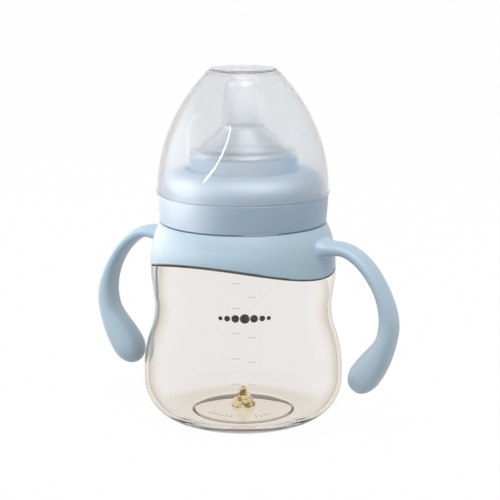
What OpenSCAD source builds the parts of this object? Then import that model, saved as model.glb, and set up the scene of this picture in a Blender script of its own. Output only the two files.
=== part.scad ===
// Wide-neck feeding bottle with a two-handled ring.
// Millimetres, +Z up. The origin is the centre of the standing face, the handles lie along X.

/* [Bottle] */
// Diameter of the belly
belly_d = 75.9; // [72:0.1:80]
// Diameter of the waist
waist_d = 67.4; // [64:0.1:69]
// How much wider than the waist the shoulder and the handle ring's skirt are
shoulder_flare = 2.9; // [2.6:0.1:4]
// Height of the top of the straight belly band
belly_z = 19.5; // [18:0.1:24]
// Height of the waist
waist_z = 44.2; // [42:0.1:47]
// Share of the convex belly curve in the sweep from the belly to the waist
belly_curve_share = 0.606; // [0.4:0.01:0.7]
// Radius of the curve from the waist up into the flare
waist_flare_r = 29.3; // [20:0.1:40]
// Radius of the rounded heel
heel_r = 16; // [12:0.5:17]
// Angle at which the wall widens above the waist
flare_angle = 7.3; // [6:0.1:9]
// Radius that turns the flare into the upright shoulder
flare_blend_r = 30; // [10:1:40]
// Wall thickness of the body
bottle_wall = 2; // [1.6:0.1:2.4]
// Diameter of the recess under the floor
recess_d = 39.2; // [30:0.2:41]
// Depth of the recess under the floor
recess_depth = 1.9; // [1:0.1:2.5]
// Thickness of the floor over the recess
floor_t = 1.8; // [1.6:0.1:3]

/* [Neck] */
// Height of the shoulder ledge that the handle ring sits on
ledge_z = 73.5; // [73:0.1:75]
// Height of the neck from the ledge to its rim
neck_h = 18; // [17.5:0.1:19]
// Bore of the neck
neck_bore = 51.2; // [49:0.2:51.4]
// Wall thickness of the neck under its thread
neck_wall = 2; // [1.6:0.1:2.1]
// Height of the rounding inside the shoulder above the step of the skirt
shoulder_turn_z = 62; // [60:0.1:63]

/* [Thread] */
// Rise of the thread in one turn
thread_pitch = 5; // [4.5:0.1:5.5]
// Height of each thread ridge off its wall
thread_depth = 1.7; // [1.2:0.1:1.9]
// Width of a ridge at its root
thread_root_w = 1.8; // [1.4:0.1:2]
// Width of a ridge at its crest
thread_crest_w = 1; // [0.6:0.1:1.2]
// Turns of the ridge on the neck and in the collar
thread_turns = 1.5; // [1:0.25:1.5]
// Gap between a crest and the wall it faces
thread_gap = 0.45; // [0.3:0.05:0.5]
// Height of the first neck ridge above the bottom of the collar
thread_start = 3.1; // [3:0.1:4]

/* [Floor boss] */
// Diameter of the widest ring of the boss
boss_d = 9.2; // [7:0.1:12]
// Height of one of its rings
boss_ring_h = 1.7; // [1.2:0.1:2]
// Number of rings
boss_rings = 3; // [2:1:4]
// Diameter of its top knob
boss_knob_d = 3.4; // [2.5:0.1:4]
// Height of its top knob
boss_knob_h = 3; // [2.5:0.1:4]

/* [Handle ring] */
// Wall thickness of the ring
ring_wall = 1.6; // [1.4:0.1:1.7]
// Thickness of its seat flange between ledge and collar
ring_flange_t = 3; // [2.5:0.1:3.2]
// Radius of its rounded shoulder
ring_dome_r = 30; // [26:0.5:34]
// Height at which its side starts to round inwards
ring_dome_z = 62; // [61:0.1:63]
// Height of its wavy edge at the front and back
wave_high_z = 65.1; // [64:0.1:66]
// Drop of the wavy edge towards the handles
wave_drop = 6.9; // [5:0.1:7.5]
// Gap between the ring and the bottle
skirt_gap = 0.25; // [0.2:0.05:0.35]

/* [Handles] */
// Height of the handle root on the ring
handle_root_z = 67; // [66:0.1:68]
// Rise of the handle as it leaves the ring
handle_rise = 12.4; // [8:0.1:14]
// Outward reach of its bend
handle_reach = 32.9; // [30:0.1:38]
// Drop from the root to the end of its centre line
handle_drop = 44.5; // [40:0.1:48]
// Distance by which its lower end turns back inwards
handle_return = 14.85; // [10:0.05:16]
// Thickness at the root
handle_root_t = 6; // [4:0.1:7]
// Thickness along the upper arm
handle_arm_t = 4.4; // [3.6:0.1:6]
// Thickness of the bulb at the lower end
handle_bulb_t = 11.7; // [9:0.1:12.5]
// Width at the root
handle_root_w = 13; // [12:0.1:17]
// Width along the arm
handle_arm_w = 10; // [8:0.1:13]
// Width of the bulb
handle_bulb_w = 12; // [10:0.1:14]
// Length of the rounded end past the centre line
handle_cap_l = 7.9; // [5:0.1:9]

/* [Collar] */
// Outer diameter of the band at its lower edge
collar_low_d = 63; // [62.4:0.1:63.6]
// Outer diameter of the band at the hood ledge
collar_high_d = 64.5; // [64:0.1:65.4]
// Height of the band
collar_band_h = 10.5; // [9.5:0.1:11]
// Gap between the handle ring and the collar
collar_gap = 0.4; // [0.3:0.05:0.6]
// Diameter of the collar under the hood
collar_guide_d = 62; // [61.8:0.1:62.4]
// Height of the upright guide under the hood
collar_guide_h = 1.3; // [1:0.1:1.5]
// Radius of the rounded shoulder
collar_dome_r = 8.1; // [7:0.1:8.2]
// Rounding of the edge of the opening
collar_lip_r = 0.8; // [0.4:0.1:1.2]

/* [Teat] */
// Diameter of the base that fills the collar opening
teat_base_d = 41.2; // [39:0.1:42]
// Gap around the base in the opening
teat_gap = 0.4; // [0.3:0.05:0.6]
// Diameter of the clamped flange
flange_d = 53.6; // [53:0.1:54.2]
// Thickness of the clamped flange
flange_t = 1.8; // [1.6:0.1:1.9]
// Gap above and below the flange
flange_gap = 0.05; // [0.04:0.01:0.08]
// Height of the teat above the bottle's rim
teat_h = 39; // [37:0.1:40]
// Height of the top of the base above the rim
teat_base_h = 13.3; // [12.5:0.1:14]
// Diameter of the cone where it leaves the base
teat_cone_d = 33.6; // [32:0.1:36]
// Diameter of the foot of the tip
teat_neck_d = 16.4; // [15:0.1:17.5]
// Height of the foot of the tip above the rim
teat_neck_h = 21; // [20:0.1:22]
// Diameter of the tip
teat_tip_d = 12.6; // [11:0.1:13.5]
// Wall thickness of the teat
teat_wall = 1.6; // [1.2:0.1:1.8]
// Diameter of the hole in the tip
teat_hole_d = 1; // [0.6:0.1:1.4]

/* [Hood] */
// Outer diameter of the hood above its rim
hood_d = 65; // [64.8:0.1:65.6]
// Wall thickness of the hood
hood_wall = 1.2; // [1:0.1:1.3]
// Height of the hood
hood_h = 46.8; // [46:0.1:50]
// Radius of the side curve
hood_curve_r = 64.5; // [62:0.5:70]
// Rounding of the top edge
hood_edge_r = 1.6; // [1.4:0.1:3]
// Height of the rim bead
hood_bead_h = 1.4; // [1:0.1:2]
// Thickness of the rim bead off the wall
hood_bead_t = 0.25; // [0.1:0.05:0.4]
// Gap between the hood and the ledge
hood_gap = 0.15; // [0.1:0.05:0.3]
// Diameter of the vent hole
vent_d = 1.8; // [1:0.1:3]

/* [Hidden] */
$fn = 96;

// Steps of a rounded corner and of a long profile curve
corner_steps = 6;
curve_steps = 14;

// Radii of the bottle
belly_r = belly_d / 2;
waist_r = waist_d / 2;
shoulder_r = (waist_d + shoulder_flare) / 2;
recess_r = recess_d / 2;
neck_bore_r = neck_bore / 2;
neck_r = neck_bore_r + neck_wall;
rim_z = ledge_z + neck_h;
floor_z = recess_depth + floor_t;
rim_round = 0.5;
edge_cut = 0.4;
recess_round = 0.6;
foot_cut = 1;
foot_angle = 78;

// The belly curve and the waist curve meet at one tangent angle
curve_sum = (pow(belly_r - waist_r, 2) + pow(waist_z - belly_z, 2)) / (2 * (belly_r - waist_r));
belly_curve_r = curve_sum * belly_curve_share;
waist_curve_r = curve_sum - belly_curve_r;
meet_angle = asin((waist_z - belly_z) / curve_sum);

// The wall above the waist is a straight flare that turns upright at the shoulder
flare_r = waist_r + waist_flare_r * (1 - cos(flare_angle));
flare_z = waist_z + waist_flare_r * sin(flare_angle);
flare_top_z = flare_z + (shoulder_r - flare_r) / tan(flare_angle);
blend_rise = flare_blend_r * tan(flare_angle / 2);

// The wavy edge is cut by one large cylinder that lies along Y
wave_r = (pow(shoulder_r, 2) + pow(wave_drop, 2)) / (2 * wave_drop);
wave_low_z = wave_high_z - wave_drop;

// The ring's rounded shoulder is an arc about this radius and height
ring_dome_c = [shoulder_r - ring_dome_r, ring_dome_z];
ring_top_z = ledge_z + ring_flange_t;
skirt_r = shoulder_r - ring_wall;

// Mating radii of the neck thread and the collar thread
neck_crest_r = neck_r + thread_depth;
collar_root_r = neck_crest_r + thread_gap;
collar_crest_r = neck_r + thread_gap;
thread_sink = 0.4;
thread_lead = 25;
thread_step = 10;

// Heights and radii of the collar
collar_z = ring_top_z + collar_gap;
hood_ledge_z = collar_z + collar_band_h;
guide_r = collar_guide_d / 2;
dome_c = [guide_r - collar_dome_r, hood_ledge_z + collar_guide_h];
collar_skin = guide_r - collar_root_r;
collar_top_z = dome_c[1] + collar_dome_r;
opening_r = teat_base_d / 2 + teat_gap;
seat_z = rim_z + flange_t + 2 * flange_gap;
thread_z = collar_z + thread_start;

// Heights and radii of the teat
flange_z = rim_z + flange_gap;
teat_base_r = teat_base_d / 2;
teat_turn_r = 3.4;
teat_blend_r = 8;
teat_inner_turn_r = 4.5;
teat_tip_round = 3.4;
teat_cone_drop = 1.2;
flange_round = 0.3;

// Heights and radii of the hood
hood_z = hood_ledge_z + hood_gap;
hood_r = hood_d / 2;
hood_top_z = hood_z + hood_h;
bead_cut = 0.3;

// Stations along a handle, sides round it and how square its section is
handle_stations = 34;
handle_cap_stations = 6;
handle_sides = 24;
handle_square = 0.77;

// A handle's centre line: radius and height of the five Bezier points, from its root
handle_root_r = shoulder_r - 2.15;
handle_curve = [
    [0, 0],
    [handle_reach * 0.547, handle_rise],
    [handle_reach, -handle_drop * 0.58],
    [handle_reach * 0.918, -handle_drop * 0.596],
    [handle_reach - handle_return, -handle_drop]
];

// Points of an arc from angle a to angle b
function arc(c, r, a, b, steps = curve_steps) =
    [for (i = [0:steps]) let(t = a + (b - a) * i / steps) c + r * [cos(t), sin(t)]];

// Unit vector
function unit(v) = v / norm(v);

// One corner of a path, rounded: p and n are its neighbours and r is the radius
function corner(p, q, n, r) =
    let(
        u = unit(p - q),
        v = unit(n - q),
        half = acos(max(-1, min(1, u * v))) / 2,
        c = q + unit(u + v) * r / sin(half),
        a = q + u * r / tan(half) - c,
        b = q + v * r / tan(half) - c,
        start = atan2(a[1], a[0]),
        turn = atan2(a[0] * b[1] - a[1] * b[0], a * b)
    )
    arc(c, r, start, start + turn, corner_steps);

// A closed path whose corners are [x, y, rounding]
function rounded(path) =
    let(count = len(path))
    [for (i = [0:count - 1])
        let(
            p = path[(i + count - 1) % count],
            q = path[i],
            n = path[(i + 1) % count]
        )
        each (q[2] > 0
            ? corner([p[0], p[1]], [q[0], q[1]], [n[0], n[1]], q[2])
            : [[q[0], q[1]]])];

// Value along a list of [place, value] stops, eased between stops
function eased(stops, t) =
    let(
        last = len(stops) - 2,
        found = [for (i = [0:last]) if (t <= stops[i + 1][0] || i == last) i][0],
        a = stops[found],
        b = stops[found + 1],
        k = max(0, min(1, (t - a[0]) / (b[0] - a[0])))
    )
    a[1] + (b[1] - a[1]) * (3 * k * k - 2 * k * k * k);

// Number of ways to choose k of four, for the Bezier weights
function choose4(k) = [1, 4, 6, 4, 1][k];

// Point on a handle's centre line
function handle_point(t) =
    [handle_root_r, handle_root_z]
    + [for (axis = [0, 1])
        let(parts = [for (k = [0:4]) choose4(k) * pow(1 - t, 4 - k) * pow(t, k) * handle_curve[k][axis]])
        parts * [1, 1, 1, 1, 1]];

// Direction of a handle's centre line
function handle_heading(t) =
    let(e = 0.004, a = max(0, t - e), b = min(1, t + e))
    unit(handle_point(b) - handle_point(a));

// Signed power, which squares off an ellipse
function squared(v) = sign(v) * pow(abs(v), handle_square);

// One section of a handle: c is its centre, d its heading, t and w its half sizes
function handle_section(c, d, t, w) =
    [for (k = [0:handle_sides - 1])
        let(
            a = 360 * k / handle_sides,
            across = t * squared(cos(a)),
            side = w * squared(sin(a))
        )
        [c[0] - d[1] * across, side, c[1] + d[0] * across]];

// Triangles of a tube of rows with the same number of sides, closed by flat ends
function tube_faces(rows, sides) = concat(
    [for (i = [0:rows - 2]) for (k = [0:sides - 1])
        let(a = i * sides + k, b = i * sides + (k + 1) % sides)
        [a, b, b + sides]],
    [for (i = [0:rows - 2]) for (k = [0:sides - 1])
        let(a = i * sides + k, b = i * sides + (k + 1) % sides)
        [a, b + sides, a + sides]],
    [[for (k = [0:sides - 1]) sides - 1 - k]],
    [[for (k = [0:sides - 1]) (rows - 1) * sides + k]]
);

// Solid of revolution from a profile of radius and height
module revolved(profile) {
    rotate_extrude(convexity = 6) polygon(profile);
}

// The large cylinder whose top is the wavy edge, smaller by gap
module wave_cylinder(gap = 0) {
    translate([0, 0, wave_high_z - wave_r])
        rotate([90, 0, 0]) cylinder(r = wave_r - gap, h = 2 * belly_d, center = true, $fn = 240);
}

// Helical ridge with a sunk root on a wall of radius r; out is 1 outwards and -1 inwards
module ridge(r, out, z, from) {
    turn = 360 * thread_turns;
    steps = round(turn / thread_step);
    points = [for (i = [0:steps])
        let(
            a = turn * i / steps,
            grow = min(1, a / thread_lead, (turn - a) / thread_lead),
            crest = r + out * max(0.15, thread_depth * grow),
            root = r - out * thread_sink,
            h = z + thread_pitch * (from + a) / 360,
            dir = [cos(from + a), sin(from + a)]
        )
        for (p = [[root, -thread_root_w], [crest, -thread_crest_w],
            [crest, thread_crest_w], [root, thread_root_w]])
            [p[0] * dir[0], p[0] * dir[1], h + p[1] / 2]];
    faces = tube_faces(steps + 1, 4);
    polyhedron(points, out < 0 ? [for (f = faces) [for (k = [len(f) - 1:-1:0]) f[k]]] : faces);
}

// Outer outline of the body, up to the highest point of the wavy step
function body_outline() = concat(
    [[0, recess_depth], [recess_r - recess_round, recess_depth], [recess_r, recess_depth - recess_round],
        [recess_r, edge_cut], [recess_r + edge_cut, 0]],
    arc([belly_r - heel_r, heel_r], heel_r, -90, 0),
    arc([belly_r - belly_curve_r, belly_z], belly_curve_r, 0, meet_angle),
    arc([waist_r + waist_curve_r, waist_z], waist_curve_r, 180 + meet_angle, 180, 10),
    arc([waist_r + waist_flare_r, waist_z], waist_flare_r, 180, 180 - flare_angle, 5),
    arc([shoulder_r - flare_blend_r, flare_top_z + blend_rise], flare_blend_r, -flare_angle, 0, 6),
    [[shoulder_r, wave_high_z + 1], [0, wave_high_z + 1]]
);

// Outline of the stepped-in shoulder and the neck above it
function neck_outline() =
    let(
        spigot_r = skirt_r - skirt_gap,
        dome_r = ring_dome_r - ring_wall - skirt_gap,
        top_angle = asin((ledge_z - ring_dome_z) / dome_r)
    )
    concat(
        [[0, waist_z], [waist_r - bottle_wall / 2, waist_z], [spigot_r, wave_low_z - 2 * bottle_wall]],
        arc(ring_dome_c, dome_r, 0, top_angle),
        rounded([[neck_r, ledge_z, 0], [neck_r, rim_z, rim_round], [neck_bore_r - 1, rim_z, 0]]),
        [[0, rim_z]]
    );

// Outline of the space inside the bottle
function cavity_outline() =
    let(
        spigot_r = skirt_r - skirt_gap - bottle_wall,
        turn_w = spigot_r - neck_bore_r,
        turn_h = ledge_z - bottle_wall - shoulder_turn_z,
        turn_r = (pow(turn_w, 2) + pow(turn_h, 2)) / (2 * turn_w),
        turn_angle = asin(min(1, turn_h / turn_r)),
        step_r = recess_r + bottle_wall
    )
    concat(
        [[0, floor_z], [step_r - foot_cut, floor_z], [step_r + foot_cut / 2, floor_z - foot_cut * 0.7]],
        arc([belly_r - heel_r, heel_r], heel_r - bottle_wall, -foot_angle, 0),
        arc([belly_r - belly_curve_r, belly_z], belly_curve_r - bottle_wall, 0, meet_angle),
        arc([waist_r + waist_curve_r, waist_z], waist_curve_r + bottle_wall, 180 + meet_angle, 180, 10),
        arc([waist_r + waist_flare_r, waist_z], waist_flare_r + bottle_wall, 180, 180 - flare_angle, 5),
        [[spigot_r, wave_low_z - 3 * bottle_wall]],
        arc([spigot_r - turn_r, shoulder_turn_z], turn_r, 0, turn_angle),
        [[neck_bore_r, rim_z + 1], [0, rim_z + 1]]
    );

// Clear amber bottle: waisted body, wavy step for the ring, and a threaded neck
module bottle() {
    color([0.93, 0.86, 0.72, 0.45])
        difference() {
            union() {
                intersection() {
                    revolved(body_outline());
                    wave_cylinder(skirt_gap);
                }
                revolved(neck_outline());
                ridge(neck_r, 1, thread_z, 0);
            }
            revolved(cavity_outline());
        }
}

// Golden stepped boss that stands on the floor
module floor_boss() {
    knob_r = boss_knob_d / 2;
    color([0.8, 0.6, 0.25])
        translate([0, 0, floor_z])
            union() {
                for (i = [0:boss_rings - 1]) {
                    ring_r = boss_d / 2 * (1 - 0.16 * i);
                    revolved(rounded([
                        [0, boss_ring_h * i, 0],
                        [ring_r, boss_ring_h * i, i == 0 ? 0.3 : 0.6],
                        [ring_r, boss_ring_h * (i + 1), 0.6],
                        [0, boss_ring_h * (i + 1), 0]
                    ]));
                }
                revolved(rounded([
                    [0, boss_ring_h * boss_rings - 0.5, 0],
                    [knob_r, boss_ring_h * boss_rings - 0.5, 0],
                    [knob_r, boss_ring_h * boss_rings + boss_knob_h, knob_r * 0.8],
                    [0, boss_ring_h * boss_rings + boss_knob_h, 0]
                ]));
            }
}

// Section of the handle ring before its wavy edge is cut
function ring_outline() =
    let(
        inner_r = ring_dome_r - ring_wall,
        inner_angle = asin((ledge_z - ring_dome_z) / inner_r),
        outer_angle = asin((ring_top_z - edge_cut - ring_dome_z) / ring_dome_r),
        outer_top = ring_dome_c + ring_dome_r * [cos(outer_angle), sin(outer_angle)],
        skirt_z = wave_low_z - 3
    )
    concat(
        [[skirt_r, skirt_z], [shoulder_r, skirt_z]],
        arc(ring_dome_c, ring_dome_r, 0, outer_angle),
        [[outer_top[0] - edge_cut, ring_top_z], [collar_root_r, ring_top_z], [collar_root_r, ledge_z]],
        arc(ring_dome_c, inner_r, inner_angle, 0)
    );

// The middle of the ring's wall, where the handle roots end
function ring_core() =
    let(core_r = ring_dome_r - ring_wall / 2)
    concat(
        [[0, 0], [shoulder_r - ring_wall / 2, 0]],
        arc(ring_dome_c, core_r, 0, asin((ring_top_z - 1 - ring_dome_z) / core_r)),
        [[0, ring_top_z - 1]]
    );

// One handle along +X: a curved arm that swells to a rounded bulb
module handle() {
    thick = [[0, handle_root_t / 2], [0.14, handle_arm_t / 2], [0.38, handle_arm_t / 2],
        [0.72, handle_arm_t * 0.8], [1, handle_bulb_t / 2]];
    wide = [[0, handle_root_w / 2], [0.2, handle_arm_w / 2], [0.6, handle_arm_w / 2],
        [1, handle_bulb_w / 2]];
    end = handle_point(1);
    heading = handle_heading(1);
    rows = concat(
        [for (i = [0:handle_stations])
            let(t = i / handle_stations)
            handle_section(handle_point(t), handle_heading(t), eased(thick, t), eased(wide, t))],
        [for (i = [1:handle_cap_stations])
            let(a = 84 * i / handle_cap_stations)
            handle_section(end + heading * handle_cap_l * sin(a), heading,
                handle_bulb_t / 2 * cos(a), handle_bulb_w / 2 * cos(a))]
    );
    difference() {
        polyhedron([for (row = rows) each row], tube_faces(len(rows), handle_sides));
        revolved(ring_core());
    }
}

// Pale blue ring with a wavy lower edge and its two handles, one moulding
module handle_ring() {
    color([0.66, 0.78, 0.88])
        union() {
            difference() {
                revolved(ring_outline());
                wave_cylinder();
            }
            handle();
            rotate([0, 0, 180]) handle();
        }
}

// Pale blue screw collar: threaded band, hood ledge, rounded shoulder and opening
module collar() {
    low_r = collar_low_d / 2;
    high_r = collar_high_d / 2;
    inner_r = collar_dome_r - collar_skin;
    seat_angle = asin((seat_z - dome_c[1]) / inner_r);
    color([0.62, 0.75, 0.86])
        union() {
            revolved(concat(
                [[collar_root_r, collar_z], [low_r - edge_cut, collar_z], [low_r, collar_z + edge_cut],
                    [high_r, hood_ledge_z - edge_cut], [high_r - edge_cut, hood_ledge_z],
                    [guide_r, hood_ledge_z]],
                arc(dome_c, collar_dome_r, 0, 90),
                arc([opening_r + collar_lip_r, collar_top_z - collar_lip_r], collar_lip_r, 90, 180, 5),
                [[opening_r, seat_z]],
                arc(dome_c, inner_r, seat_angle, 0)
            ));
            ridge(collar_root_r, -1, thread_z - thread_pitch / 2, 90);
        }
}

// Corners of the teat's outer side, from the flange to the tip
function teat_outer() = [
    [0, flange_z, 0],
    [flange_d / 2, flange_z, flange_round],
    [flange_d / 2, flange_z + flange_t, flange_round],
    [teat_base_r, flange_z + flange_t, 0.2],
    [teat_base_r, rim_z + teat_base_h - teat_cone_drop, teat_turn_r],
    [teat_cone_d / 2, rim_z + teat_base_h, 0],
    [teat_neck_d / 2, rim_z + teat_neck_h, teat_blend_r],
    [teat_tip_d / 2, rim_z + teat_h, teat_tip_round],
    [0, rim_z + teat_h, 0]
];

// Corners of the space inside the teat
function teat_inner() = [
    [0, flange_z - 1, 0],
    [teat_base_r - teat_wall, flange_z - 1, 0],
    [teat_base_r - teat_wall, rim_z + teat_base_h - teat_cone_drop - teat_wall, teat_turn_r - 1],
    [teat_neck_d / 2 - teat_wall, rim_z + teat_neck_h - teat_wall, teat_inner_turn_r],
    [teat_tip_d / 2 - teat_wall, rim_z + teat_h - teat_wall, teat_tip_round - 1.4],
    [0, rim_z + teat_h - teat_wall, 0]
];

// Soft translucent teat with its clamped flange and a hole in the tip
module nipple() {
    color([0.9, 0.93, 0.96, 0.6])
        difference() {
            revolved(rounded(teat_outer()));
            revolved(rounded(teat_inner()));
            translate([0, 0, rim_z + teat_h - 2 * teat_wall])
                cylinder(d = teat_hole_d, h = 3 * teat_wall);
        }
}

// Side and top of a dome about the hood's curve, inset by the given wall
function hood_outline(inset) =
    let(
        edge_r = hood_edge_r,
        c = [hood_r - hood_curve_r, hood_z],
        top_z = hood_top_z - edge_r,
        edge_angle = asin((top_z - c[1]) / (hood_curve_r - edge_r)),
        edge_c = c + (hood_curve_r - edge_r) * [cos(edge_angle), sin(edge_angle)]
    )
    concat(
        arc(c, hood_curve_r - inset, 0, edge_angle, 2 * curve_steps),
        arc(edge_c, edge_r - inset, edge_angle, 90, 5),
        [[0, hood_top_z - inset]]
    );

// Clear dome with a rim bead, a flat top and a vent hole
module hood() {
    bead_r = hood_r + hood_bead_t;
    color([0.92, 0.95, 0.97, 0.3])
        difference() {
            union() {
                revolved(concat([[0, hood_z]], hood_outline(0)));
                revolved([[0, hood_z], [bead_r - bead_cut, hood_z], [bead_r, hood_z + bead_cut],
                    [bead_r, hood_z + hood_bead_h - bead_cut / 2],
                    [hood_r - bead_cut, hood_z + hood_bead_h], [0, hood_z + hood_bead_h]]);
            }
            revolved(concat([[0, hood_z - 1], [hood_r - hood_wall, hood_z - 1]],
                hood_outline(hood_wall)));
            translate([0, 0, hood_top_z - 2 * hood_wall])
                cylinder(d = vent_d, h = 3 * hood_wall, $fn = 48);
        }
}

bottle();
floor_boss();
handle_ring();
collar();
nipple();
hood();
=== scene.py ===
import math

import bpy
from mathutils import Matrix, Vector


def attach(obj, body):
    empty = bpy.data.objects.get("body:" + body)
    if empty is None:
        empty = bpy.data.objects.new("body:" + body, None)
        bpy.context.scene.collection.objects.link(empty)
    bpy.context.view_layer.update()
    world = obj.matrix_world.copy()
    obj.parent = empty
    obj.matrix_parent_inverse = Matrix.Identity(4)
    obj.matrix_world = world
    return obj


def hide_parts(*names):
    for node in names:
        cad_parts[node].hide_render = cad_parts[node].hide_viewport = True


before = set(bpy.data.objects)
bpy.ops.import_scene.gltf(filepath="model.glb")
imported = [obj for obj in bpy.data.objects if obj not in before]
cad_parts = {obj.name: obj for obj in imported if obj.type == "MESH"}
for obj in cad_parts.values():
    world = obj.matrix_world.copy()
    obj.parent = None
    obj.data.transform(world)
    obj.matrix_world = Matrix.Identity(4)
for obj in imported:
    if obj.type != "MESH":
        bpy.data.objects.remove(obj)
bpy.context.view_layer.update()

bpy.context.scene.view_settings.view_transform = "Standard"
bpy.context.scene.cycles.glossy_bounces = 12
bpy.context.scene.cycles.transparent_max_bounces = 24
bpy.ops.object.select_all(action="DESELECT")

# ---------------------------------------------------------------- camera
# A long lens a little above the bottle. The handles lie along X, so the camera stands to one
# side of them and sees one handle come forward and the other go back.
CAMERA_AZIMUTH = math.radians(26.9)
CAMERA_DISTANCE = 0.6463
CAMERA_HEIGHT = 0.199
CAMERA_PITCH = 0.2042
CAMERA_YAW = 0.004
SENSOR_MM = 36.0
LENS_MM = 125.04

bpy.ops.object.camera_add(
    location=(
        CAMERA_DISTANCE * math.sin(CAMERA_AZIMUTH),
        -CAMERA_DISTANCE * math.cos(CAMERA_AZIMUTH),
        CAMERA_HEIGHT,
    ),
    rotation=(math.pi / 2 - CAMERA_PITCH, 0, CAMERA_AZIMUTH - CAMERA_YAW),
)
camera = bpy.context.object
camera.name = "camera"
camera.data.lens = LENS_MM
camera.data.sensor_width = SENSOR_MM
camera.data.clip_start = 0.01
bpy.context.scene.camera = camera

# ---------------------------------------------------------------- studio
# A pale table in a white room. The room is plain white to the camera and behind glass, and
# gives a soft even light to everything else.
ROOM_LIGHT = 0.39
TABLE_SIZE = 6.0
TABLE_DROP = 0.0002
TABLE_PALE = 0.4
TABLE_ROUGHNESS = 0.7
TABLE_WHITE = 1.02
TABLE_GLOW = 0.96


def new_material(name):
    """An empty node material: its tree, its Principled shader and its output."""
    material = bpy.data.materials.new(name)
    material.use_nodes = True
    nodes = material.node_tree.nodes
    return material, nodes, nodes["Principled BSDF"], nodes["Material Output"]


def set_values(node, **values):
    """Sets a node's inputs by name, with _ for a space."""
    for socket, value in values.items():
        node.inputs[socket.replace("_", " ")].default_value = value


def add_node(nodes, kind, **values):
    """Adds a node and sets its inputs."""
    node = nodes.new(kind)
    set_values(node, **values)
    return node


def add_math(nodes, operation, kind="ShaderNodeMath"):
    """Adds a Math node, or a Vector Math node, that does this operation."""
    node = nodes.new(kind)
    node.operation = operation
    return node


def wire(links, joints):
    """Links nodes, each joint given as a node and its output, and a node and its input."""
    for source, output, target, entry in joints:
        links.new(source.outputs[output], target.inputs[entry])


def seen_rays(nodes, links):
    """A mask that is 1 for rays from the camera and for rays that come by gloss or glass."""
    path = nodes.new("ShaderNodeLightPath")
    seen, clear = add_math(nodes, "MAXIMUM"), add_math(nodes, "MAXIMUM")
    wire(links, [
        (path, "Is Camera Ray", seen, 0),
        (path, "Is Transmission Ray", clear, 0),
        (path, "Is Glossy Ray", clear, 1),
        (clear, "Value", seen, 1),
    ])
    return seen.outputs["Value"]


world = bpy.data.worlds.new("white_room")
bpy.context.scene.world = world
world.use_nodes = True
world.cycles.sampling_method = "NONE"
room = world.node_tree
room.nodes.clear()
room_out = room.nodes.new("ShaderNodeOutputWorld")
room_mix = room.nodes.new("ShaderNodeMixShader")
room_soft = add_node(room.nodes, "ShaderNodeBackground", Color=(1, 1, 1, 1), Strength=ROOM_LIGHT)
room_white = add_node(room.nodes, "ShaderNodeBackground", Color=(1, 1, 1, 1), Strength=1.0)
room.links.new(seen_rays(room.nodes, room.links), room_mix.inputs["Fac"])
wire(room.links, [
    (room_soft, "Background", room_mix, 1),
    (room_white, "Background", room_mix, 2),
    (room_mix, "Shader", room_out, "Surface"),
])

bpy.ops.mesh.primitive_plane_add(size=TABLE_SIZE, location=(0, 0, -TABLE_DROP))
table = bpy.context.object
table.name = "table"
table_white, nodes, paint, out = new_material("table_white")
set_values(paint, Base_Color=(TABLE_PALE, TABLE_PALE, TABLE_PALE, 1), Roughness=TABLE_ROUGHNESS)
table_share = add_math(nodes, "MULTIPLY")
table_share.inputs[1].default_value = TABLE_GLOW
table_glow = add_node(nodes, "ShaderNodeEmission", Color=(1, 1, 1, 1), Strength=TABLE_WHITE)
table_mix = nodes.new("ShaderNodeMixShader")
links = table_white.node_tree.links
links.new(seen_rays(nodes, links), table_share.inputs[0])
wire(links, [
    (table_share, "Value", table_mix, "Fac"),
    (paint, "BSDF", table_mix, 1),
    (table_glow, "Emission", table_mix, 2),
    (table_mix, "Shader", out, "Surface"),
])
table_white.cycles.emission_sampling = "NONE"
table.data.materials.append(table_white)

# Lamps with soft edges: a wide diffuser wall at the left and a box above. The others show as
# gloss alone. Each has its azimuth from the camera, height, distance, size, watts, and gloss_only.
LAMPS = {
    "left_wall": (-95, 0.25, 0.75, (1.3, 0.6), 6.3, False),
    "left_polish": (-84, 0.06, 0.75, (1.0, 0.5), 2.5, True),
    "band_polish": (-84, 0.06, 0.75, (1.0, 0.5), 38.0, True),
    "rear_left_polish": (-135, 0.1, 0.75, (0.6, 0.5), 4.5, True),
    "top_box": (10, 0.9, 0.35, (0.9, 0.9), 9.5, False),
    "top_polish": (0, 0.9, 0.3, (1.0, 1.0), 4.0, True),
    "dome_left_polish": (-100, 0.5, 0.6, (0.8, 0.6), 24.0, True),
    "dome_polish": (45, 0.9, 0.35, (1.0, 1.0), 42.0, True),
    "hood_veil": (-95, 0.25, 0.75, (1.3, 0.6), 4.0, True),
}
LAMP_AIM = Vector((0, 0, 0.075))
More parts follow.
